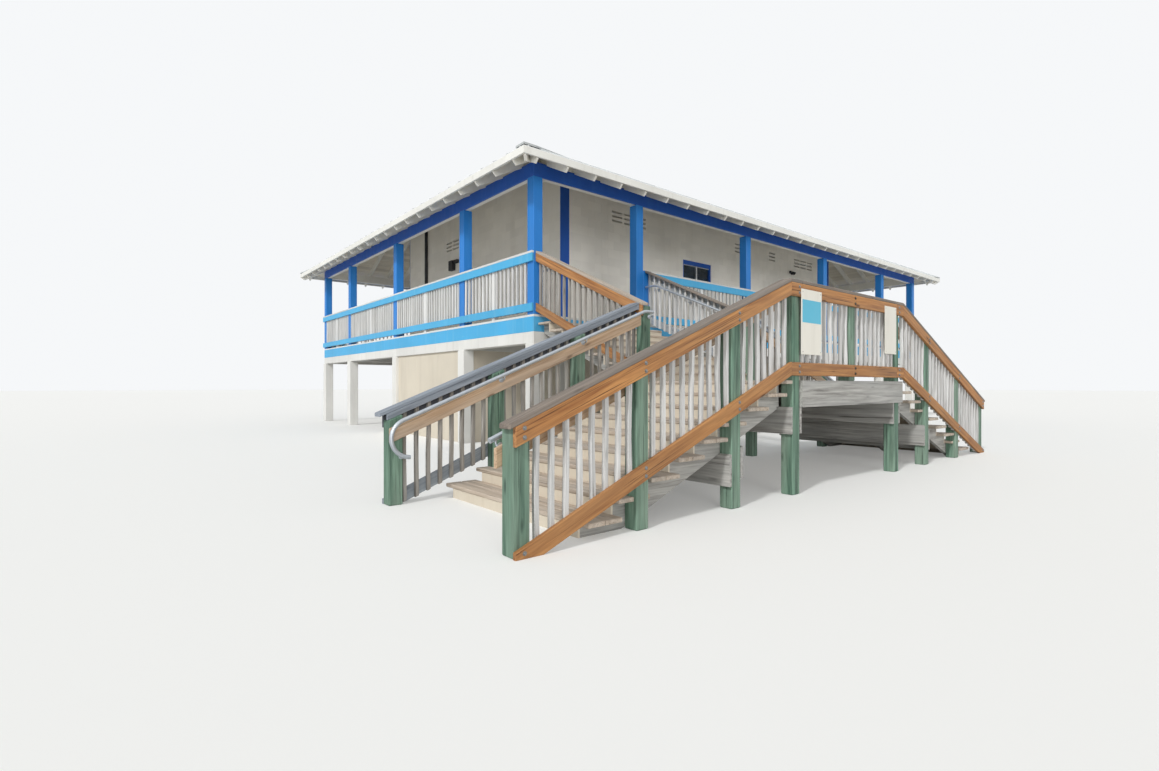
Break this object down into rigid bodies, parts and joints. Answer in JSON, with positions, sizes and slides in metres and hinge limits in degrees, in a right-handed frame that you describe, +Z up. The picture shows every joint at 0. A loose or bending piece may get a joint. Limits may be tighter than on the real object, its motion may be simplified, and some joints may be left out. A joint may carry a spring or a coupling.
{
  "type": "raised beach pavilion",
  "caption": "Raised timber beach pavilion on posts, with a block room, a deck all round, a hip roof and a T-shaped entry stair.",
  "frame": {"origin": "middle of the footprint, on the ground", "axes": "+X along the long sides, away from the stair end; +Y from the stair side to the back; +Z up"},
  "size_m": [20.128, 17.318, 8.2923],
  "materials": {
    "white_paint": "white painted timber",
    "blue_paint": "blue painted timber",
    "rail_blue": "light blue painted timber",
    "wall_block": "cream painted block",
    "framing_wood": "plain sawn timber",
    "deck_wood": "weathered boards",
    "roof_metal": "pale ribbed metal",
    "eave_metal": "pale folded metal",
    "glass": "clear pane",
    "cedar_rail": "orange stained boards with knots",
    "grey_wood": "bare weathered timber",
    "green_post": "green treated posts",
    "tread_wood": "pale worn treads",
    "galvanised": "galvanised tube",
    "sign_white": "blank painted sheet",
    "dark_fitting": "black fittings"
  },
  "bodies": {
    "root": {"ground_posts": "white_paint", "long_girders": "white_paint", "side_girders": "white_paint", "store_wall": "wall_block", "deck_joists": "framing_wood", "deck_band": "blue_paint", "deck_floor": "deck_wood", "deck_columns": "blue_paint", "eave_beam": "blue_paint", "front_wall": "wall_block", "back_wall": "wall_block", "left_wall": "wall_block", "right_wall": "wall_block", "corner_trim": "blue_paint", "vent_blocks": "wall_block", "window_frame": "blue_paint", "window_glass": "glass", "door_frames": "blue_paint", "rafters": "white_paint", "hip_rafters": "white_paint", "ridge_beam": "white_paint", "roof_boards": "white_paint", "roof_sheet": "roof_metal", "roof_caps": "roof_metal", "eave_trim": "eave_metal", "front_railing": "rail_blue", "back_railing": "rail_blue", "left_railing": "rail_blue", "right_railing": "rail_blue", "stair_posts": "green_post", "post_ties": "grey_wood", "landing_frame": "grey_wood", "landing_floor": "tread_wood", "side_stringers": "grey_wood", "side_treads": "tread_wood", "upper_stringers": "grey_wood", "upper_treads": "tread_wood", "stair_risers": "tread_wood", "front_left_rail": "cedar_rail", "landing_rail": "cedar_rail", "front_right_rail": "cedar_rail", "back_stair_rails": "cedar_rail", "upper_stair_rails": "grey_wood", "handrails": "galvanised", "notice_boards": "sign_white", "wall_lamp": "dark_fitting", "wall_pipe": "dark_fitting"}
  },
  "joints": []
}
